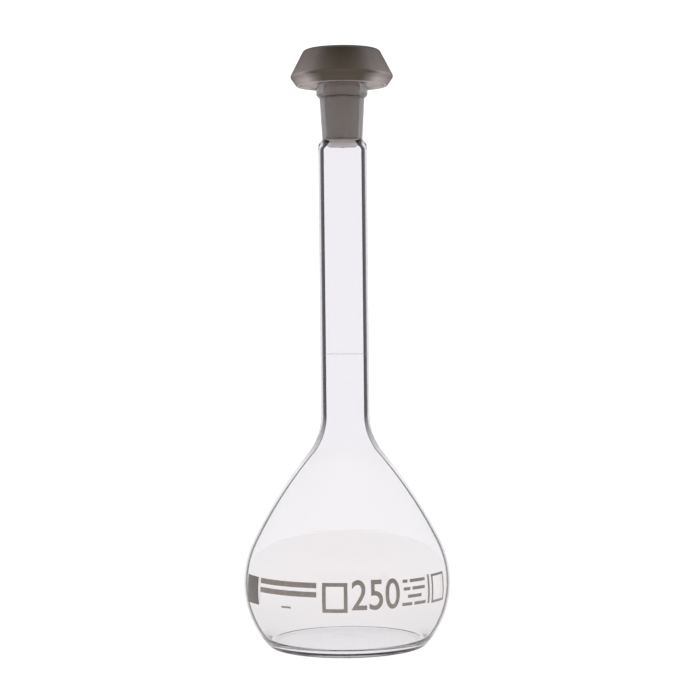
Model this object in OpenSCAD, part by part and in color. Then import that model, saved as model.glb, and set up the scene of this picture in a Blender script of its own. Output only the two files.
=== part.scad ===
// Volumetric flask, 250 ml, with a tapered socket and a lift-out plastic stopper.
// The glass stands on the XY plane, its axis is the Z axis, and +Z points to the stopper.
// The printed side of the bulb faces -Y. All sizes are in millimetres.

/* [Bulb] */
// Largest outer radius of the bulb
bulb_r = 40.6; // [39.6:0.1:41.6]
// Height of the largest radius above the table
bulb_r_z = 24.7; // [23.7:0.1:25.7]
// Radius of the rounded belly above the largest radius
crown_r = 37; // [35:0.5:39]
// Angle at which the belly turns into the shoulder
crown_angle = 26; // [24:0.5:28]
// Radius of the long, slightly rounded shoulder
shoulder_r = 190; // [170:5:210]
// Outer radius of the hollow curve from the shoulder to the neck
throat_r = 24; // [22:0.5:26]
// Radius of the belly below the largest radius
belly_r = 35.7; // [34:0.1:38]
// Radius of the outer corner round the base
base_corner_r = 2; // [1.5:0.1:3]
// Thickness of the blown wall, below the shoulder
bulb_wall = 1.25; // [1.15:0.05:2]
// Radius of the shoulder's inside, which leaves the wall thicker towards the neck
in_shoulder_r = 172; // [168:1:180]
// Thickness of the base
base_wall = 2; // [1.5:0.1:3]
// Width of the flat ring that the flask stands on
rest_ring_w = 2.4; // [1.5:0.1:4]
// Rise of the pushed-up middle of the base
punt_h = 1.2; // [0.5:0.1:2]

/* [Neck] */
// Outer radius of the neck
neck_r = 9.55; // [9.2:0.05:9.9]
// Inner radius of the neck
neck_bore_r = 7.4; // [7.2:0.01:7.5]
// Radius of the rounded end of the neck under the socket
neck_end_r = 3.2; // [2.8:0.1:3.6]
// Height of the graduation ring above the table
ring_z = 114.7; // [108:0.1:122]
// Width of the graduation ring's line
ring_w = 0.35; // [0.2:0.05:0.6]

/* [Socket] */
// Height of the mouth above the table
mouth_z = 220.6; // [218:0.1:224]
// Diameter of the ground bore at the mouth
socket_d = 14.5; // [14.3:0.1:14.7]
// Length of the ground bore
socket_len = 23; // [22:0.5:24]
// Thickness of the glass round the ground bore
socket_wall = 1.8; // [1.6:0.1:2]
// Largest outer radius of the rim bead
bead_r = 10.1; // [9.6:0.1:10.6]
// Height of the rim bead
bead_h = 5.2; // [4.4:0.1:6]
// Radius of the rim bead's round corners
bead_corner_r = 1.5; // [1:0.1:2]

/* [Stopper] */
// Gap between the plug and the ground bore, measured on the radius
plug_gap = 0.025; // [0.02:0.005:0.05]
// Thickness of the plug's wall
plug_wall = 1.3; // [1:0.1:1.6]
// How far the plug reaches past the ground bore
plug_reach = 0.9; // [0.5:0.1:1.4]
// Height of the head's flat top above the mouth
head_rise = 13.5; // [12.7:0.1:16]
// Outer radius of the head's top, measured at its rounded edge
head_top_r = 15.6; // [14.6:0.1:16.6]
// Largest radius of the head
head_r = 20.1; // [19.8:0.1:20.8]
// Height of the head's largest radius above the mouth
rim_rise = 3; // [2.7:0.1:3.5]
// Radius of the head's lower lip
lip_r = 17.9; // [17.4:0.1:18.2]
// How far the head's lower lip hangs below the mouth
lip_drop = 0.6; // [0:0.1:0.8]
// Thickness of the head's shell
head_wall = 1.6; // [1.3:0.1:1.8]

/* [Print] */
// Height of the enamel patch's lower edge above the table
patch_low_z = 19.4; // [17:0.1:21]
// Height of the enamel patch's upper edge above the table
patch_high_z = 30.1; // [28:0.1:32]
// Direction of the enamel patch's first edge round the bulb
patch_start = 199; // [180:1:205]
// Angle that the enamel patch covers
patch_angle = 14; // [10:0.5:30]

/* [Hidden] */
$fn = 144;

taper = 1 / 20;              // change of the ground bore's radius per unit of length
arc_step = 3;                // largest angle between two points of an arc
dome_steps = 6;              // points along a dome, from its middle to its edge
glass_tint = [0.86, 0.9, 0.92, 0.45];
enamel_tint = [0.58, 0.55, 0.53];
ring_depth = 0.1;            // depth of the groove that holds the graduation ring
ring_proud = 0.03;           // how far the ring stands out of the neck
patch_t = 0.08;              // thickness of the enamel patch
patch_margin = 2;            // room that the patch's cutting square has on each side of the bulb
cut = 1;                     // how far a cutting shape runs past what it cuts

// Outer outline of the bulb: centres and end angles of its tangent arcs
crown_c = [bulb_r - crown_r, bulb_r_z];
shoulder_c = crown_c - (shoulder_r - crown_r) * [cos(crown_angle), sin(crown_angle)];
throat_angle = acos((neck_r + throat_r - shoulder_c.x) / (shoulder_r + throat_r));
throat_c = [neck_r + throat_r, shoulder_c.y + (shoulder_r + throat_r) * sin(throat_angle)];
belly_c = [bulb_r - belly_r, bulb_r_z];
base_angle = asin((bulb_r_z - base_corner_r) / (belly_r - base_corner_r));
base_c = [belly_c.x + (belly_r - base_corner_r) * cos(base_angle), base_corner_r];
rest_r = base_c.x - rest_ring_w;
neck_z = throat_c.y;

// Inner outline of the bulb, one wall thickness inside and thicker in the throat
in_crown_r = crown_r - bulb_wall;
in_shoulder_c = crown_c - (in_shoulder_r - in_crown_r) * [cos(crown_angle), sin(crown_angle)];
in_belly_r = belly_r - bulb_wall;
throat_extra = 1;            // how much tighter the inside of the throat curves
in_throat_r = throat_r - throat_extra;
in_throat_angle = acos((neck_bore_r + in_throat_r - in_shoulder_c.x) / (in_shoulder_r + in_throat_r));
in_throat_c = [
  neck_bore_r + in_throat_r,
  in_shoulder_c.y + (in_shoulder_r + in_throat_r) * sin(in_throat_angle)
];
in_corner_r = 8;
in_base_angle = asin((bulb_r_z - base_wall - in_corner_r) / (in_belly_r - in_corner_r));
in_corner_c = [
  belly_c.x + (in_belly_r - in_corner_r) * cos(in_base_angle),
  base_wall + in_corner_r
];

// Socket and the rounded end of the neck below it
socket_r = socket_d / 2;
socket_z = mouth_z - socket_len;
bore_low_r = socket_r - socket_len * taper;
seal_angle = 30;             // where the neck's rounded end meets the socket's
end_c = [neck_r - neck_end_r, socket_z - neck_end_r * sin(seal_angle)];
fillet_r = 1;                // hollow curve from the rounded end to the socket
fillet_angle = acos((bore_low_r + socket_wall + fillet_r - end_c.x) / (neck_end_r + fillet_r));
fillet_c = end_c + (neck_end_r + fillet_r) * [cos(fillet_angle), sin(fillet_angle)];
in_end_r = 4.2;              // rounded inside of the neck's end
in_end_angle = acos((bore_low_r - neck_bore_r + in_end_r) / in_end_r);
in_end_c = [neck_bore_r - in_end_r, socket_z - in_end_r * sin(in_end_angle)];
bead_z = mouth_z - bead_h;
bore_edge = 0.4;             // melted edge of the bore at the mouth

// Stopper
plug_low_z = socket_z - plug_reach;
plug_edge_r = 0.8;           // rounded lower edge of the plug
plug_dome = 0.5;             // bulge of the plug's closed end
gate_r = 0.5;                // moulding gate left in the middle of that end
gate_h = 0.3;
gate_sink = 0.02;            // how deep the gate starts in the bulge
seat_gap = 0.3;              // gap between the mouth and the plug's flange
flange_z = mouth_z + seat_gap;
flange_t = 1.3;
flange_r = 17;
head_top_z = mouth_z + head_rise;
head_r_z = mouth_z + rim_rise;
lip_z = mouth_z - lip_drop;
lip_w = 1;                   // width of the lip's flat face
head_edge_r = 2;             // rounded edge of the head's top
head_rim_r = 1.4;            // rounded edge at the head's largest radius
cone_angle = 28;             // how far the cone's side faces up
bevel_angle = 37;            // how far the side under the largest radius faces down
ledge = 0.5;                 // ledge inside the head that holds the flange
rim_wall = head_wall + 0.4;  // thickness of the shell at its largest radius

// Points along an arc round centre c, from angle a to angle b
function arc(c, r, a, b) =
  let (steps = max(2, ceil(abs(b - a) / arc_step)))
  [for (i = [0:steps]) let (t = a + (b - a) * i / steps) c + r * [cos(t), sin(t)]];

// Radius of the ground bore at height z
function bore_at(z) = socket_r - (mouth_z - z) * taper;

// Points of a shallow dome from the axis to radius r, whose middle is h above z
function dome(r, z, h) =
  let (big = (r * r + h * h) / (2 * h), end = asin(r / big))
  [for (i = [0:dome_steps]) let (t = end * i / dome_steps) [big * sin(t), z + h - big * (1 - cos(t))]];

function reversed(points) = [for (i = [len(points) - 1:-1:0]) points[i]];

// Outer outline of the bulb, from the middle of the base to the neck
function bulb_outside() = concat(
  dome(rest_r, 0, punt_h),
  arc(base_c, base_corner_r, -90, -base_angle),
  arc(belly_c, belly_r, -base_angle, 0),
  arc(crown_c, crown_r, 0, crown_angle),
  arc(shoulder_c, shoulder_r, crown_angle, throat_angle),
  reversed(arc(throat_c, throat_r, 180, 180 + throat_angle))
);

// Inner outline of the bulb, from the middle of the base to the neck
function bulb_inside() = concat(
  dome(in_corner_c.x, base_wall, punt_h),
  arc(in_corner_c, in_corner_r, -90, -in_base_angle),
  arc(belly_c, in_belly_r, -in_base_angle, 0),
  arc(crown_c, in_crown_r, 0, crown_angle),
  arc(in_shoulder_c, in_shoulder_r, crown_angle, in_throat_angle),
  reversed(arc(in_throat_c, in_throat_r, 180, 180 + in_throat_angle)),
  [[neck_bore_r, neck_z]]
);

// Blown bulb, open where the neck is sealed on
module bulb() {
  color(glass_tint)
    rotate_extrude() polygon(concat(bulb_outside(), reversed(bulb_inside())));
}

// Drawn tube with a rounded upper end
module neck_tube() {
  color(glass_tint)
    difference() {
      rotate_extrude()
        polygon(concat(
          [[neck_bore_r, neck_z], [neck_r, neck_z]],
          arc(end_c, neck_end_r, 0, seal_angle),
          [[bore_low_r, socket_z]],
          reversed(arc(in_end_c, in_end_r, 0, in_end_angle))
        ));
      neck_ring(neck_r + cut);
    }
}

// Ring round the neck at the graduation height, from the groove's bottom out to radius r
module neck_ring(r) {
  translate([0, 0, ring_z - ring_w / 2])
    difference() {
      cylinder(r = r, h = ring_w);
      translate([0, 0, -cut]) cylinder(r = neck_r - ring_depth, h = ring_w + 2 * cut);
    }
}

// Tapered ground socket with its rim bead
module ground_socket() {
  color([0.8, 0.82, 0.83, 0.7])
    rotate_extrude()
      polygon(concat(
        [[bore_low_r, socket_z]],
        arc(end_c, neck_end_r, seal_angle, fillet_angle),
        reversed(arc(fillet_c, fillet_r, 180, 180 + fillet_angle)),
        [[bore_at(bead_z) + socket_wall, bead_z]],
        arc([bead_r - bead_corner_r, bead_z + bead_corner_r], bead_corner_r, -90, 0),
        arc([bead_r - bead_corner_r, mouth_z - bead_corner_r], bead_corner_r, 0, 90),
        arc([socket_r + bore_edge, mouth_z - bore_edge], bore_edge, 90, 180),
        [[bore_at(mouth_z - 2 * bore_edge), mouth_z - 2 * bore_edge]]
      ));
}

// Graduation line, set in a groove round the neck
module ring_mark() {
  color(enamel_tint) neck_ring(neck_r + ring_proud);
}

// Fired enamel rectangle on the side of the bulb
module writing_patch() {
  color(enamel_tint)
    rotate([0, 0, patch_start])
      rotate_extrude(angle = patch_angle)
        intersection() {
          difference() {
            translate(crown_c) circle(r = crown_r + patch_t);
            translate(crown_c) circle(r = crown_r);
          }
          translate([bulb_r - patch_margin, patch_low_z])
            square([2 * patch_margin, patch_high_z - patch_low_z]);
        }
}

// Hollow moulded plug, closed below, with a flange that carries the head
module stopper_plug() {
  r_top = bore_at(mouth_z) - plug_gap;
  r_low = bore_at(plug_low_z) - plug_gap;
  end_r = r_low - plug_edge_r;
  end_z = plug_low_z - plug_dome;
  color([0.62, 0.62, 0.61])
    rotate_extrude()
      polygon(concat(
        [[0, end_z - gate_h], [gate_r, end_z - gate_h], [gate_r, end_z + gate_sink]],
        [for (i = [1:dome_steps]) let (p = dome(end_r, 0, plug_dome)[i]) [p.x, plug_low_z - p.y]],
        arc([end_r, plug_low_z + plug_edge_r], plug_edge_r, -90, 0),
        [[r_top, mouth_z], [r_top, flange_z], [flange_r, flange_z]],
        [[flange_r, flange_z + flange_t], [r_top - plug_wall, flange_z + flange_t]],
        [[r_low - plug_wall, plug_low_z + plug_wall], [0, plug_low_z + plug_wall]]
      ));
}

// Conical head cap with an inward-sloping lip
module stopper_head() {
  color([0.42, 0.39, 0.38])
    rotate_extrude()
      polygon(concat(
        [[0, head_top_z]],
        arc([head_top_r - head_edge_r, head_top_z - head_edge_r], head_edge_r, 90, cone_angle),
        arc([head_r - head_rim_r, head_r_z], head_rim_r, cone_angle, -bevel_angle),
        [[lip_r, lip_z], [lip_r - lip_w, lip_z], [flange_r - ledge, flange_z]],
        [[flange_r, flange_z], [flange_r, flange_z + flange_t], [head_r - rim_wall, head_r_z]],
        [[head_top_r - head_wall, head_top_z - head_wall], [0, head_top_z - head_wall]]
      ));
}

bulb();
neck_tube();
ground_socket();
ring_mark();
writing_patch();
stopper_plug();
stopper_head();
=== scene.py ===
import math

import bmesh
import bpy
from mathutils import Matrix, Vector


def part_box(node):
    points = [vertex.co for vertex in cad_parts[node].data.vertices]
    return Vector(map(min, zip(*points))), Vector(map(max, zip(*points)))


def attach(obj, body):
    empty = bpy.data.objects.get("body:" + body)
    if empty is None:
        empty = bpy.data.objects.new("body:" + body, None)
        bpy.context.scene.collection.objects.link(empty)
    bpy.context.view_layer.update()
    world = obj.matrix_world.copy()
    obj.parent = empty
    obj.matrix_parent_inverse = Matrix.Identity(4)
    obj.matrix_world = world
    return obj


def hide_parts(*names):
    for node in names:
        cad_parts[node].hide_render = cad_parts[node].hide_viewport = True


# A 250 ml volumetric flask. The CAD's three pieces of glass are shown as one smooth vessel, the
# stopper and the two CAD marks keep their meshes, and the rest of the print is wrapped round the
# bulb as thin ink.

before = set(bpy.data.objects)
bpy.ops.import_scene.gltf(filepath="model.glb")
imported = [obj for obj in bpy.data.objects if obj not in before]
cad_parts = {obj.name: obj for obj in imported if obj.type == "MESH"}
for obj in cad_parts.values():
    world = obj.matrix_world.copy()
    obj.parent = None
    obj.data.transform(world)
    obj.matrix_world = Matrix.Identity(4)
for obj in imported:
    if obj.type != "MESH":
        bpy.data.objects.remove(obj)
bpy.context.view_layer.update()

MM = 0.001

# ---------------------------------------------------------------- places that the CAD parts give, in mm

socket_low, socket_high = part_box("ground_socket")
plug_low, plug_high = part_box("stopper_plug")
head_low, head_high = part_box("stopper_head")

BULB_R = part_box("bulb")[1].x / MM
NECK_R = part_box("neck_tube")[1].x / MM
SOCKET_Z = socket_low.z / MM
MOUTH_Z = socket_high.z / MM
BEAD_R = socket_high.x / MM
PLUG_LOW_Z = plug_low.z / MM
PLUG_TOP_Z = plug_high.z / MM
LIP_Z = head_low.z / MM
HEAD_TOP_Z = head_high.z / MM

# ---------------------------------------------------------------- the CAD outline's other sizes, in mm

# Bulb, outside
BULB_R_Z = 24.7          # height of the largest radius
CROWN_R = 37.0           # belly above the largest radius
CROWN_ANGLE = 26.0       # angle at which the belly turns into the shoulder
SHOULDER_R = 190.0
THROAT_R = 24.0
BELLY_R = 35.7           # belly below the largest radius
BASE_CORNER_R = 2.0
REST_RING_W = 2.4        # width of the flat ring that the flask stands on
PUNT_H = 1.2             # rise of the pushed-up middle of the base

# Bulb, inside
BULB_WALL = 1.25
INNER_SHOULDER_R = 172.0
INNER_THROAT_R = 23.0
INNER_CORNER_R = 8.0
BASE_WALL = 2.0

# Neck
NECK_BORE_R = 7.4
NECK_END_R = 3.2         # rounded end of the neck under the socket
INNER_END_R = 4.2        # rounded inside of that end
SEAL_ANGLE = 30.0        # where the neck's rounded end meets the socket's
FILLET_R = 1.0           # hollow curve from the rounded end to the socket

# Socket
SOCKET_R = 7.25          # ground bore at the mouth
SOCKET_WALL = 1.8
TAPER = 1 / 20           # change of the ground bore's radius per unit of length
BEAD_H = 5.2
BEAD_CORNER_R = 1.5
BEAD_FILLET_R = 0.5      # hollow curve under the bead
BORE_EDGE = 0.4          # melted edge of the bore at the mouth

# Head
HEAD_RIM_Z = MOUTH_Z + 3.0      # height of the largest radius
LIP_R = 17.9

RINGS = 240              # segments round the glass
SAME = 1e-4              # points of an outline that are closer than this are one point


# ---------------------------------------------------------------- outlines

def cos(degrees):
    return math.cos(math.radians(degrees))


def sin(degrees):
    return math.sin(math.radians(degrees))


def acos(x):
    return math.degrees(math.acos(x))


def asin(x):
    return math.degrees(math.asin(x))


def arc(centre, radius, start, end, step=1.5):
    """Points of an arc in the (radius, height) plane, from angle start to angle end."""
    count = max(2, math.ceil(abs(end - start) / step))
    angles = [start + (end - start) * i / count for i in range(count + 1)]
    return [(centre[0] + radius * cos(a), centre[1] + radius * sin(a)) for a in angles]


def line(start, end, count):
    """Points of a straight run, both ends included."""
    return [
        (start[0] + (end[0] - start[0]) * i / count, start[1] + (end[1] - start[1]) * i / count)
        for i in range(count + 1)
    ]


def dome(radius, z, height, count=24):
    """Points of a shallow pushed-up middle, level at the axis and at radius."""
    return [
        (radius * i / count, z + height * (1 + cos(180 * i / count)) / 2)
        for i in range(count + 1)
    ]


def without_repeats(points):
    """The points of an outline, less those that repeat the one before."""
    kept = [points[0]]
    for p in points[1:]:
        if math.dist(p, kept[-1]) > SAME:
            kept.append(p)
    return kept


def bore_at(z):
    """Radius of the ground bore at height z."""
    return SOCKET_R - (MOUTH_Z - z) * TAPER


CROWN_C = (BULB_R - CROWN_R, BULB_R_Z)
BELLY_C = (BULB_R - BELLY_R, BULB_R_Z)


def shoulder_and_throat(shoulder_r, crown_r, throat_r, tube_r):
    """Points from the crown's end up to the straight tube, along two tangent arcs."""
    beyond = shoulder_r - crown_r
    shoulder_c = (CROWN_C[0] - beyond * cos(CROWN_ANGLE), CROWN_C[1] - beyond * sin(CROWN_ANGLE))
    reach = shoulder_r + throat_r
    angle = acos((tube_r + throat_r - shoulder_c[0]) / reach)
    throat_c = (tube_r + throat_r, shoulder_c[1] + reach * sin(angle))
    return (
        arc(shoulder_c, shoulder_r, CROWN_ANGLE, angle, 0.4)
        + arc(throat_c, throat_r, 180, 180 + angle, 1)[::-1]
    )


def vessel_outside():
    """Outer outline of the glass, from the middle of the base to the mouth."""
    base_angle = asin((BULB_R_Z - BASE_CORNER_R) / (BELLY_R - BASE_CORNER_R))
    base_c = (BELLY_C[0] + (BELLY_R - BASE_CORNER_R) * cos(base_angle), BASE_CORNER_R)
    throat = shoulder_and_throat(SHOULDER_R, CROWN_R, THROAT_R, NECK_R)
    end_c = (NECK_R - NECK_END_R, SOCKET_Z - NECK_END_R * sin(SEAL_ANGLE))
    reach = NECK_END_R + FILLET_R
    fillet_angle = acos((bore_at(SOCKET_Z) + SOCKET_WALL + FILLET_R - end_c[0]) / reach)
    fillet_c = (end_c[0] + reach * cos(fillet_angle), end_c[1] + reach * sin(fillet_angle))
    bead_z = MOUTH_Z - BEAD_H
    bead_in = BEAD_R - BEAD_CORNER_R
    under_r, under_z = bore_at(bead_z) + SOCKET_WALL, bead_z - BEAD_FILLET_R
    return without_repeats(
        dome(base_c[0] - REST_RING_W, 0, PUNT_H)
        + arc(base_c, BASE_CORNER_R, -90, -base_angle, 6)
        + arc(BELLY_C, BELLY_R, -base_angle, 0)
        + arc(CROWN_C, CROWN_R, 0, CROWN_ANGLE)
        + throat
        + line(throat[-1], (NECK_R, end_c[1]), 20)
        + arc(end_c, NECK_END_R, 0, fillet_angle, 5)
        + arc(fillet_c, FILLET_R, 180, 180 + fillet_angle, 8)[::-1]
        + line((fillet_c[0] - FILLET_R, fillet_c[1]), (under_r, under_z), 10)
        + arc((under_r + BEAD_FILLET_R, under_z), BEAD_FILLET_R, 180, 90, 15)
        + arc((bead_in, bead_z + BEAD_CORNER_R), BEAD_CORNER_R, -90, 0, 6)
        + arc((bead_in, MOUTH_Z - BEAD_CORNER_R), BEAD_CORNER_R, 0, 90, 6)
        + arc((SOCKET_R + BORE_EDGE, MOUTH_Z - BORE_EDGE), BORE_EDGE, 90, 180, 10)
    )


def vessel_inside():
    """Inner outline of the clear glass, from the middle of the base to the ground bore."""
    belly_r = BELLY_R - BULB_WALL
    crown_r = CROWN_R - BULB_WALL
    base_angle = asin((BULB_R_Z - BASE_WALL - INNER_CORNER_R) / (belly_r - INNER_CORNER_R))
    corner_c = (
        BELLY_C[0] + (belly_r - INNER_CORNER_R) * cos(base_angle),
        BASE_WALL + INNER_CORNER_R,
    )
    throat = shoulder_and_throat(INNER_SHOULDER_R, crown_r, INNER_THROAT_R, NECK_BORE_R)
    end_angle = acos((bore_at(SOCKET_Z) - NECK_BORE_R + INNER_END_R) / INNER_END_R)
    end_c = (NECK_BORE_R - INNER_END_R, SOCKET_Z - INNER_END_R * sin(end_angle))
    return without_repeats(
        dome(corner_c[0], BASE_WALL, PUNT_H)
        + arc(corner_c, INNER_CORNER_R, -90, -base_angle, 3)
        + arc(BELLY_C, belly_r, -base_angle, 0)
        + arc(CROWN_C, crown_r, 0, CROWN_ANGLE)
        + throat
        + line(throat[-1], (NECK_BORE_R, end_c[1]), 20)
        + arc(end_c, INNER_END_R, 0, end_angle, 5)
    )


def ground_bore():
    """The ground bore, from its lower end up to the melted edge at the mouth."""
    top = MOUTH_Z - 2 * BORE_EDGE
    return line((bore_at(SOCKET_Z), SOCKET_Z), (bore_at(top), top), 12)


# ---------------------------------------------------------------- mesh helpers

def new_object(name, data):
    thing = bpy.data.objects.new(name, data)
    bpy.context.scene.collection.objects.link(thing)
    return thing


def mesh_object(name, bm, materials):
    """Turns a bmesh into an object that shows these materials."""
    mesh = bpy.data.meshes.new(name)
    bm.to_mesh(mesh)
    bm.free()
    for material in materials:
        mesh.materials.append(material)
    return new_object(name, mesh)


def revolve(name, runs, materials):
    """Turns an outline about the Z axis. runs is a list of (points, material index), each run
    starting where the one before it ended, from the axis back to the axis."""
    outline, slots = [], []
    for points, slot in runs:
        for p in points:
            if outline and math.dist(p, outline[-1]) < SAME:
                continue
            if outline:
                slots.append(slot)
            outline.append(p)
    bm = bmesh.new()
    turns = [2 * math.pi * i / RINGS for i in range(RINGS)]
    rows = []
    for r, z in outline:
        corners = [(r * MM * math.cos(a), r * MM * math.sin(a), z * MM) for a in turns]
        rows.append([bm.verts.new(c) for c in (corners if r > SAME else corners[:1])])
    for low, high, slot in zip(rows, rows[1:], slots):
        for i in range(RINGS):
            j = (i + 1) % RINGS
            corners = [low[i % len(low)], low[j % len(low)], high[j % len(high)], high[i % len(high)]]
            face = bm.faces.new(list(dict.fromkeys(corners)))
            face.material_index = slot
            face.smooth = True
    bmesh.ops.recalc_face_normals(bm, faces=bm.faces)
    return mesh_object(name, bm, materials)


# ---------------------------------------------------------------- node helpers

class Nodes:
    """A short way to write the node tree of a material or a world."""

    def __init__(self, owner, output):
        owner.use_nodes = True
        self.owner = owner
        self.tree = owner.node_tree
        self.tree.nodes.clear()
        self.out = self.add(output)

    def put(self, value, socket):
        """Gives a socket its value: another socket's, a number or a colour."""
        if isinstance(value, bpy.types.NodeSocket):
            self.tree.links.new(value, socket)
        elif isinstance(value, tuple) and len(value) < len(socket.default_value):
            socket.default_value = (*value, 1)
        else:
            socket.default_value = value

    def add(self, kind, *values, **inputs):
        """A new node, with its first inputs in order and the others by name."""
        node = self.tree.nodes.new("ShaderNode" + kind)
        for value, socket in zip(values, node.inputs):
            self.put(value, socket)
        for key, value in inputs.items():
            self.put(value, node.inputs[key.replace("_", " ")])
        return node

    def ramp(self, fac, stops):
        """A colour ramp over (position, grey or colour) stops."""
        node = self.add("ValToRGB", fac)
        marks = node.color_ramp.elements
        while len(marks) < len(stops):
            marks.new(1)
        for mark, (place, value) in zip(marks, stops):
            colour = value if isinstance(value, tuple) else (value,) * 3
            mark.position, mark.color = place, (*colour, 1)
        return node.outputs[0]

    def blend(self, fac, first, second, kind="MIX"):
        """Two colours blended by fac."""
        node = self.add("Mix")
        node.data_type, node.blend_type = "RGBA", kind
        for value, socket in zip((fac, first, second), (node.inputs[i] for i in (0, 6, 7))):
            self.put(value, socket)
        return node.outputs[2]

    def math(self, operation, a, b=0.0, clamp=False):
        node = self.add("Math", a, b)
        node.operation, node.use_clamp = operation, clamp
        return node.outputs[0]

    def mix(self, fac, first, second):
        """Two shaders mixed by fac."""
        return self.add("MixShader", fac, first, second).outputs[0]

    def place(self):
        """The point on the surface, in metres."""
        return self.add("TexCoord").outputs["Object"]

    def height(self):
        return self.add("SeparateXYZ", self.place()).outputs["Z"]

    def up(self, low, high):
        """From 0 at height low to 1 at height high, both in mm above the table."""
        above = self.math("SUBTRACT", self.height(), low * MM)
        return self.math("DIVIDE", above, (high - low) * MM, clamp=True)

    def up_ramp(self, stops):
        """A colour ramp over (height in mm, grey or colour) stops."""
        low, high = stops[0][0], stops[-1][0]
        return self.ramp(self.up(low, high), [((z - low) / (high - low), v) for z, v in stops])

    def facing(self):
        """How far the face turns away from the view, from 0 to 1."""
        return self.add("LayerWeight", Blend=0.5).outputs["Facing"]

    def fresnel(self, ior):
        """How much a clear surface mirrors, from 0 to 1."""
        return self.add("Fresnel", IOR=ior).outputs[0]

    def noise(self, scale, detail):
        return self.add("TexNoise", Vector=self.place(), Scale=scale, Detail=detail).outputs["Fac"]

    def bump(self, height, strength, distance):
        return self.add("Bump", Strength=strength, Distance=distance, Height=height).outputs[0]

    def shader(self, kind, **inputs):
        return self.add(kind, **inputs).outputs[0]

    def finish(self, shader):
        self.put(shader, self.out.inputs["Surface"])
        return self.owner


def material_nodes(name):
    """An empty node tree in a new material."""
    return Nodes(bpy.data.materials.new(name), "OutputMaterial")


# ---------------------------------------------------------------- glass

GLASS_IOR = 1.47
TURNS_BACK = 0.5         # Fresnel value above which the inner face turns all light back
FROST_SHARE = 0.25       # part of the ground bore that scatters light as a white powder does

# Heights in mm at which the glass of the wall changes its thickness
BASE_TO = 8.0            # as thick as at the corner of the base, up to here
BELLY_FROM = 26.0        # thin from here on
NECK_FROM = 70.0         # starts to thicken towards the neck
NECK_FULL = 91.0         # as thick as in the neck


def outer_glass():
    """Clear glass seen from outside: it bends light, mirrors at a shallow angle and gets a grey
    tint where the view runs through more of it."""
    n = material_nodes("outer_glass")
    facing = n.facing()
    thick = n.ramp(facing, [(0.0, (0.91, 0.9, 0.91)), (0.97, (0.85, 0.84, 0.85))])
    thin = n.ramp(facing, [(0.0, (0.949, 0.938, 0.948)), (0.97, (0.93, 0.925, 0.935))])
    neck = n.ramp(facing, [
        (0.0, (0.916, 0.903, 0.926)),
        (0.8, (0.91, 0.9, 0.92)),
        (0.97, (0.82, 0.82, 0.84)),
    ])
    bulb = n.blend(n.up(BASE_TO, BELLY_FROM), thick, thin)
    tint = n.blend(n.up(NECK_FROM, NECK_FULL), bulb, neck)
    bend = n.shader("BsdfRefraction", Color=tint, Roughness=0.0, IOR=GLASS_IOR)
    gloss = n.shader("BsdfAnisotropic", Color=(0.85, 0.85, 0.86), Roughness=0.0)
    return n.finish(n.mix(n.fresnel(GLASS_IOR), bend, gloss))


def inner_glass():
    """The inner face of the wall. Seen through the glass, from a facing value of 0.267 on, it turns
    all light back. There its gloss colour is a painted reflection: painted dark at steep angles, for
    the dark sides of a studio, and painted bright at shallow ones, for the bright backdrop. Elsewhere
    the face mirrors as plain glass does."""
    n = material_nodes("inner_glass")
    fresnel, facing = n.fresnel(GLASS_IOR), n.facing()
    # Painted reflection: the gloss colour is painted nearly black in a thin band of facing values in
    # the bulb, and in a wider band in the neck, for the dark line along the glass's edge.
    bulb = n.ramp(facing, [(0.262, 0.97), (0.268, 0.01), (0.273, 0.03), (0.28, 0.97), (1.0, 1.0)])
    neck = n.ramp(facing, [
        (0.262, 0.97), (0.268, 0.05), (0.375, 0.05), (0.40, 0.3), (0.44, 0.88), (1.0, 1.0),
    ])
    turned = n.blend(n.up(NECK_FROM, NECK_FULL), bulb, neck)
    plain = n.ramp(facing, [(0.0, 0.97), (1.0, 1.0)])
    edge = n.blend(n.math("GREATER_THAN", fresnel, TURNS_BACK), plain, turned)
    bend = n.shader("BsdfRefraction", Color=(0.965, 0.965, 0.968), Roughness=0.0, IOR=GLASS_IOR)
    gloss = n.shader("BsdfAnisotropic", Color=edge, Roughness=0.0)
    return n.finish(n.mix(fresnel, bend, gloss))


def ground_glass():
    """The ground bore: light scatters in its fine frosting."""
    n = material_nodes("ground_glass")
    bump = n.bump(n.noise(scale=9000.0, detail=2.0), strength=0.25, distance=0.00002)
    bend = n.shader("BsdfRefraction", Color=(0.9, 0.9, 0.9), Roughness=0.3, IOR=GLASS_IOR, Normal=bump)
    turned = n.shader("BsdfAnisotropic", Color=(0.36, 0.35, 0.345), Roughness=0.35, Normal=bump)
    frost = n.shader("BsdfDiffuse", Color=(0.48, 0.45, 0.43), Normal=bump)
    polished = n.mix(n.fresnel(GLASS_IOR), bend, turned)
    return n.finish(n.mix(FROST_SHARE, polished, frost))


def make_vessel():
    """The glass, as the one continuous piece that a glassblower's seals leave."""
    outer, inner, ground = range(3)
    runs = [
        (vessel_outside(), outer),
        (ground_bore()[::-1], ground),
        (vessel_inside()[::-1], inner),
    ]
    vessel = revolve("glass_vessel", runs, [outer_glass(), inner_glass(), ground_glass()])
    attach(vessel, "flask")
    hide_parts("bulb", "neck_tube", "ground_socket")


# ---------------------------------------------------------------- stopper

PAINTED_UNDERSIDE_LIGHT = (0.45, 0.4, 0.38)               # plastic painted pale where light from below falls on it: painted light
# The head's own dark grey-brown, with painted light and shade by height: painted darker on the cone,
# painted lighter round the rim and at the very top.
BEVEL_PAINTED_TONE = (0.116, 0.093, 0.074)     # the head under its largest radius
RIM_PAINTED_LIGHT = (0.172, 0.138, 0.105)
CONE_TOP_PAINTED_SHADE = (0.078, 0.063, 0.046)
HEAD_TOP_PAINTED_LIGHT = (0.2, 0.17, 0.15)
GATE_TONE = (0.2, 0.19, 0.18)          # the moulding gate under the plug
# Painted light: the plug's closed end is painted pale.
PLUG_END_PAINTED_LIGHT = (0.66, 0.63, 0.61)


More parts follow.
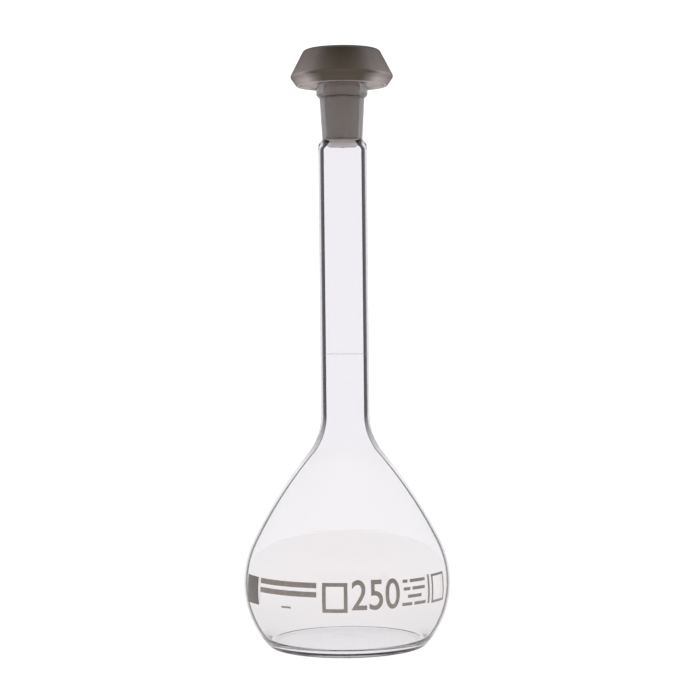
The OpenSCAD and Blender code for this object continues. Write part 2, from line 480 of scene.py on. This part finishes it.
def within(n, radius, top):
    """1 inside this radius of the axis and below this height, both in mm, and 0 elsewhere."""
    flat = n.add("VectorMath", n.place(), (1, 1, 0))
    flat.operation = "MULTIPLY"
    length = n.add("VectorMath", flat.outputs[0])
    length.operation = "LENGTH"
    near = n.math("LESS_THAN", length.outputs["Value"], radius * MM)
    return n.math("MULTIPLY", near, n.math("LESS_THAN", n.height(), top * MM))


def moulded_plastic(name, tones, sheen, gains, roughness, painted_light_underside=None):
    """Satin moulded plastic. tones is a list of (height in mm, colour) stops up the piece, sheen a
    list of (how far the face turns away, share of gloss) stops, and gains a list of (height in mm,
    part of that gloss) stops. painted_light_underside is a radius and a height in mm within and
    below which the plastic is painted pale, as painted light from below."""
    n = material_nodes(name)
    base = n.up_ramp(tones)
    if painted_light_underside:
        # Painted light: within this radius and below this height the plastic is painted pale, as if lit
        # from below.
        base = n.blend(within(n, *painted_light_underside), base, PAINTED_UNDERSIDE_LIGHT)
    cloud = n.ramp(n.noise(scale=160.0, detail=3.0), [(0.3, 0.92), (0.7, 1.0)])
    bump = n.bump(n.noise(scale=2500.0, detail=3.0), strength=0.15, distance=0.00002)
    shaded = n.blend(1.0, base, cloud, "MULTIPLY")
    body = n.shader("BsdfDiffuse", Color=shaded, Roughness=0.5, Normal=bump)
    gloss = n.shader("BsdfAnisotropic", Color=(1, 0.91, 0.94), Roughness=roughness, Normal=bump)
    share = n.math("MULTIPLY", n.ramp(n.facing(), sheen), n.up_ramp(gains))
    return n.finish(n.mix(share, body, gloss))


def head_plastic():
    """The head's plastic: darker and less glossy towards its top, and glossiest round the lip. Its
    colour is painted light and shade: darker on the cone, lighter round the rim and at the very top.
    """
    # Painted light and shade: the colour steps up the head from the bevel to a lighter rim, a darker
    # cone and a lighter top edge.
    tones = [
        (LIP_Z, BEVEL_PAINTED_TONE),
        (HEAD_RIM_Z - 0.8, BEVEL_PAINTED_TONE),
        (HEAD_RIM_Z + 0.2, RIM_PAINTED_LIGHT),
        (HEAD_TOP_Z - 0.3, CONE_TOP_PAINTED_SHADE),
        (HEAD_TOP_Z, HEAD_TOP_PAINTED_LIGHT),
    ]
    sheen = [
        (0.0, 0.012), (0.185, 0.016), (0.24, 0.09), (0.3, 0.21),
        (0.37, 0.33), (0.5, 0.3), (0.7, 0.22), (1.0, 0.08),
    ]
    gains = [
        (LIP_Z, 1.0),
        (LIP_Z + 1.2, 1.0),
        (LIP_Z + 2.2, 0.68),
        (HEAD_RIM_Z - 0.6, 0.68),
        (HEAD_RIM_Z + 0.4, 1.0),
        (HEAD_RIM_Z + 5.0, 0.78),
        (HEAD_TOP_Z, 0.7),
    ]
    # Painted light: the head's underside inside the lip is painted pale.
    painted_light_underside = (LIP_R - 0.2, MOUTH_Z + 0.6)
    return moulded_plastic("head_plastic", tones, sheen, gains, 0.35, painted_light_underside)


def plug_plastic():
    """The plug's plastic: painted pale at its closed end and on the flange, as painted light, and
    painted darker in the socket, as painted shade.
    """
    tones = [
        (PLUG_LOW_Z, GATE_TONE),
        (PLUG_LOW_Z + 0.25, GATE_TONE),
        (PLUG_LOW_Z + 0.35, PLUG_END_PAINTED_LIGHT),
        # Painted shade: the plastic is painted darker where it sits in the socket.
        (SOCKET_Z - 0.1, (0.55, 0.51, 0.48)),
        (SOCKET_Z + 0.5, (0.38, 0.33, 0.29)),
        (SOCKET_Z + 4.0, (0.29, 0.24, 0.2)),
        (MOUTH_Z - 0.4, (0.26, 0.215, 0.17)),
        (MOUTH_Z, PAINTED_UNDERSIDE_LIGHT),
        (PLUG_TOP_Z, PAINTED_UNDERSIDE_LIGHT),
    ]
    sheen = [(0.0, 0.02), (0.35, 0.05), (0.7, 0.1), (1.0, 0.15)]
    gains = [(PLUG_LOW_Z, 1.0), (PLUG_TOP_Z, 1.0)]
    return moulded_plastic("plug_plastic", tones, sheen, gains, 0.4)


def coat(node, material):
    """Gives a CAD node this material."""
    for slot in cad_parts[node].material_slots:
        slot.material = material


def make_stopper():
    """The plug and the head keep their CAD shapes and get their plastics."""
    coat("stopper_head", head_plastic())
    coat("stopper_plug", plug_plastic())


# ---------------------------------------------------------------- print

# The print is laid out flat in mm, x to the right of the front's middle and y up from the table,
# and then wrapped round the bulb. Flat ink goes from 0 at the glass to 1 at its outer face.
FRONT = -90.0            # direction of the printed front
INK_LOW = 0.01           # how far the ink's two faces stand off the glass
INK_HIGH = 0.07
INK_STEP = 0.8           # longest stretch of ink that stays flat
INK_SAME = 1e-3          # points of flat ink that are closer than this are one point
ETCHED_SHARE = 0.11      # part of the graduation line that its frosting covers

# Each starts with its left side, in degrees to the right of the front, and its lower side. Then
# come the width and height, and for the boxes the width of the stroke.
CLASS_BOX = (-13.3, 18.9, 9.6, 11.2, 1.4)
SIDE_BOX = (52.8, 19.8, 9.6, 11.0, 0.9)
SIDE_BAR = (49.3, 20.0, 1.0, 11.0)
SHORT_BAR = (-38.0, 19.8, 4.4, 0.7)

STRIPE_FROM = -54.5      # left end of the two stripes, in degrees
STRIPE_ANGLE = 38.0      # angle that they cover
STRIPE_ZS = (24.6, 28.0)
STRIPE_H = 2.0

DATA_FROM = 30.7         # left side of the block of dashes, in degrees
DATA_W = 12.0
DATA_ROWS = ((4.6, 6.0), (6.8,), (3.0, 6.4), (2.2, 7.8))      # dashes' widths, lowest row first
DATA_Z = 20.3            # lower side of the lowest row
DATA_PITCH = 2.9
DASH_H = 1.2
DASH_GAP = 1.1

NUMERALS = (1.7, 19.7, 19.0, 11.4)      # left, low, width and height of the capacity, in mm
NUMERAL_WEIGHT = 0.008                  # how much the face is thickened
CURVE_STEPS = 8                         # steps in each curve of a figure


def enamel(name, thin, thick):
    """Fired grey-brown print, a little uneven in its tone, between two colours."""
    n = material_nodes(name)
    blotch = n.noise(scale=700.0, detail=4.0)
    tone = n.ramp(blotch, [(0.3, thick), (0.7, thin)])
    bump = n.bump(blotch, strength=0.2, distance=0.00003)
    return n.finish(n.shader("BsdfPrincipled", Base_Color=tone, Roughness=0.5, Normal=bump))


def etched_line():
    """The graduation line: a fine frosted groove that only partly covers the glass."""
    n = material_nodes("etched_line")
    grain = n.noise(scale=3000.0, detail=2.0)
    tone = n.ramp(grain, [(0.3, (0.6, 0.59, 0.58)), (0.7, (0.72, 0.71, 0.7))])
    frost = n.shader("BsdfDiffuse", Color=tone)
    return n.finish(n.mix(ETCHED_SHARE, n.shader("BsdfTransparent"), frost))


def along(azimuth):
    """Distance along the bulb's widest ring for an angle to the right of the front."""
    return math.radians(azimuth) * BULB_R


def bar(bm, left, low, width, height):
    """A flat bar of ink."""
    size = Matrix.Diagonal((width, height, 1, 1))
    middle = Matrix.Translation((left + width / 2, low + height / 2, 0.5))
    bmesh.ops.create_cube(bm, size=1, matrix=middle @ size)


def empty_box(bm, left, low, width, height, stroke):
    """A rectangle with an empty middle, as one closed ring."""
    loops = []
    for inset in (0, stroke):
        x0, x1 = left + inset, left + width - inset
        y0, y1 = low + inset, low + height - inset
        for z in (0, 1):
            loops.append([bm.verts.new((x, y, z)) for x, y in ((x0, y0), (x1, y0), (x1, y1), (x0, y1))])
    outer_low, outer_high, inner_low, inner_high = loops
    for one, other in (
        (outer_low, outer_high),
        (outer_high, inner_high),
        (inner_high, inner_low),
        (inner_low, outer_low),
    ):
        for i in range(4):
            j = (i + 1) % 4
            bm.faces.new((one[i], one[j], other[j], other[i]))


def numerals(bm, body, left, low, width, height):
    """Figures in the plain built-in face, fitted to a box."""
    curve = bpy.data.curves.new("numerals", "FONT")
    curve.body, curve.extrude = body, 0.5
    curve.offset, curve.resolution_u = NUMERAL_WEIGHT, CURVE_STEPS
    thing = new_object("numerals", curve)
    bpy.context.view_layer.update()
    mesh = bpy.data.meshes.new_from_object(thing.evaluated_get(bpy.context.evaluated_depsgraph_get()))
    bpy.data.objects.remove(thing)
    xs = [v.co.x for v in mesh.vertices]
    ys = [v.co.y for v in mesh.vertices]
    for v in mesh.vertices:
        v.co.x = left + (v.co.x - min(xs)) / (max(xs) - min(xs)) * width
        v.co.y = low + (v.co.y - min(ys)) / (max(ys) - min(ys)) * height
        v.co.z += 0.5
    bm.from_mesh(mesh)
    bmesh.ops.remove_doubles(bm, verts=bm.verts, dist=INK_SAME)


def wrapped(name, bm, material):
    """Cuts flat ink into short stretches, wraps it round the bulb and makes it a piece."""
    for axis in (0, 1):
        places = [v.co[axis] for v in bm.verts]
        for i in range(1, math.ceil((max(places) - min(places)) / INK_STEP)):
            spot, way = Vector(), Vector()
            spot[axis], way[axis] = min(places) + i * INK_STEP, 1
            everything = bm.verts[:] + bm.edges[:] + bm.faces[:]
            bmesh.ops.bisect_plane(bm, geom=everything, plane_co=spot, plane_no=way, dist=INK_SAME)
    for v in bm.verts:
        turn = math.radians(FRONT) + v.co.x / BULB_R
        centre, radius = (CROWN_C, CROWN_R) if v.co.y > BULB_R_Z else (BELLY_C, BELLY_R)
        rise = math.asin((v.co.y - BULB_R_Z) / radius)
        out = radius + INK_LOW + v.co.z * (INK_HIGH - INK_LOW)
        r, z = centre[0] + out * math.cos(rise), BULB_R_Z + out * math.sin(rise)
        v.co = (r * MM * math.cos(turn), r * MM * math.sin(turn), z * MM)
    ink = mesh_object(name, bm, [material])
    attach(ink, "flask")


def dashes(bm):
    """Rows of dashes, each row centred in the block."""
    for i, widths in enumerate(DATA_ROWS):
        row_w = sum(widths) + DASH_GAP * (len(widths) - 1)
        left = along(DATA_FROM) + (DATA_W - row_w) / 2
        for width in widths:
            bar(bm, left, DATA_Z + DATA_PITCH * i, width, DASH_H)
            left += width + DASH_GAP


def make_marks():
    """The CAD marks get their print material, and the bulb gets the rest of its print: the
    capacity in figures, and plain shapes where the real flask has its maker's words."""
    coat("ring_mark", etched_line())
    coat("writing_patch", enamel("patch_enamel", (0.2, 0.18, 0.17), (0.145, 0.13, 0.12)))
    ink = enamel("print_enamel", (0.36, 0.315, 0.29), (0.27, 0.235, 0.215))

    bm = bmesh.new()
    numerals(bm, "250", *NUMERALS)
    wrapped("capacity_numerals", bm, ink)

    bm = bmesh.new()
    empty_box(bm, along(CLASS_BOX[0]), *CLASS_BOX[1:])
    wrapped("class_box", bm, ink)

    bm = bmesh.new()
    for z in STRIPE_ZS:
        bar(bm, along(STRIPE_FROM), z, along(STRIPE_ANGLE), STRIPE_H)
    wrapped("name_stripes", bm, ink)

    bm = bmesh.new()
    bar(bm, along(SHORT_BAR[0]), *SHORT_BAR[1:])
    wrapped("short_line", bm, ink)

    bm = bmesh.new()
    dashes(bm)
    wrapped("data_lines", bm, ink)

    bm = bmesh.new()
    bar(bm, along(SIDE_BAR[0]), *SIDE_BAR[1:])
    empty_box(bm, along(SIDE_BOX[0]), *SIDE_BOX[1:])
    wrapped("side_lines", bm, ink)


# ---------------------------------------------------------------- studio, in metres

TABLE_R = 0.41           # radius of the round table top
TABLE_GAP = 0.0002       # how far it lies under the flask
BACKDROP = 1.13          # brightness of the backdrop seen straight or through the glass

EYE = (0.0021, -0.717, 0.130)
AIM = (0.0021, 0, 0.1162)
LEAN = 0.62              # roll of the camera, in degrees
LENS = 93.6              # in mm
SENSOR_W = 36            # in mm


def make_floor():
    """A plain pale table top."""
    n = material_nodes("table_top")
    glow = n.shader("Emission", Color=(1.0, 0.985, 0.975), Strength=0.965)
    paper = n.shader("BsdfDiffuse", Color=(0.22, 0.22, 0.22))
    bm = bmesh.new()
    bmesh.ops.create_circle(bm, cap_ends=True, segments=128, radius=TABLE_R)
    floor = mesh_object("table_top", bm, [n.finish(n.add("AddShader", glow, paper).outputs[0])])
    floor.location.z = -TABLE_GAP


def sky(n, stops):
    """A background whose grey follows the ray, from 0 straight down to 1 straight up."""
    way = n.add("SeparateXYZ", n.add("TexCoord").outputs["Generated"]).outputs["Z"]
    rise = n.add("MapRange", Value=way, From_Min=-1.0).outputs[0]
    return n.shader("Background", Color=n.ramp(rise, stops))


def make_world():
    """White backdrop, and a softer light tent for shading: bright round the horizon in gloss, and
    dimmer for the diffuse light."""
    n = Nodes(bpy.data.worlds.new("studio"), "OutputWorld")
    ray = n.add("LightPath").outputs
    white = sky(n, [(0, BACKDROP), (1, BACKDROP)])
    bright = sky(n, [(0, 0.9), (0.5, 1.0), (0.7, 0.8), (0.85, 0.3), (1, 0.25)])
    dim = sky(n, [(0, 0.75), (0.5, 0.5), (0.7, 0.42), (0.85, 0.35), (1, 0.35)])
    seen = n.math("MAXIMUM", ray["Is Camera Ray"], ray["Is Transmission Ray"])
    tent = n.mix(ray["Is Diffuse Ray"], bright, dim)
    bpy.context.scene.world = n.finish(n.mix(seen, tent, white))


def make_camera():
    """A long lens about level with the middle of the flask."""
    data = bpy.data.cameras.new("camera")
    data.sensor_width = SENSOR_W
    data.lens = LENS
    camera = new_object("camera", data)
    turn = (Vector(AIM) - Vector(EYE)).to_track_quat("-Z", "Y").to_matrix().to_4x4()
    roll = Matrix.Rotation(math.radians(-LEAN), 4, "Z")
    camera.matrix_world = Matrix.Translation(EYE) @ turn @ roll
    bpy.context.scene.camera = camera


# A ray through the flask crosses four walls of glass and turns back inside them, so it needs many
# bounces.
scene = bpy.context.scene
scene.view_settings.view_transform = "Standard"
scene.cycles.use_denoising = True
scene.cycles.max_bounces = 24
scene.cycles.transmission_bounces = 24
scene.cycles.glossy_bounces = 8
scene.cycles.transparent_max_bounces = 16

make_camera()
make_world()
make_floor()
make_vessel()
make_stopper()
make_marks()
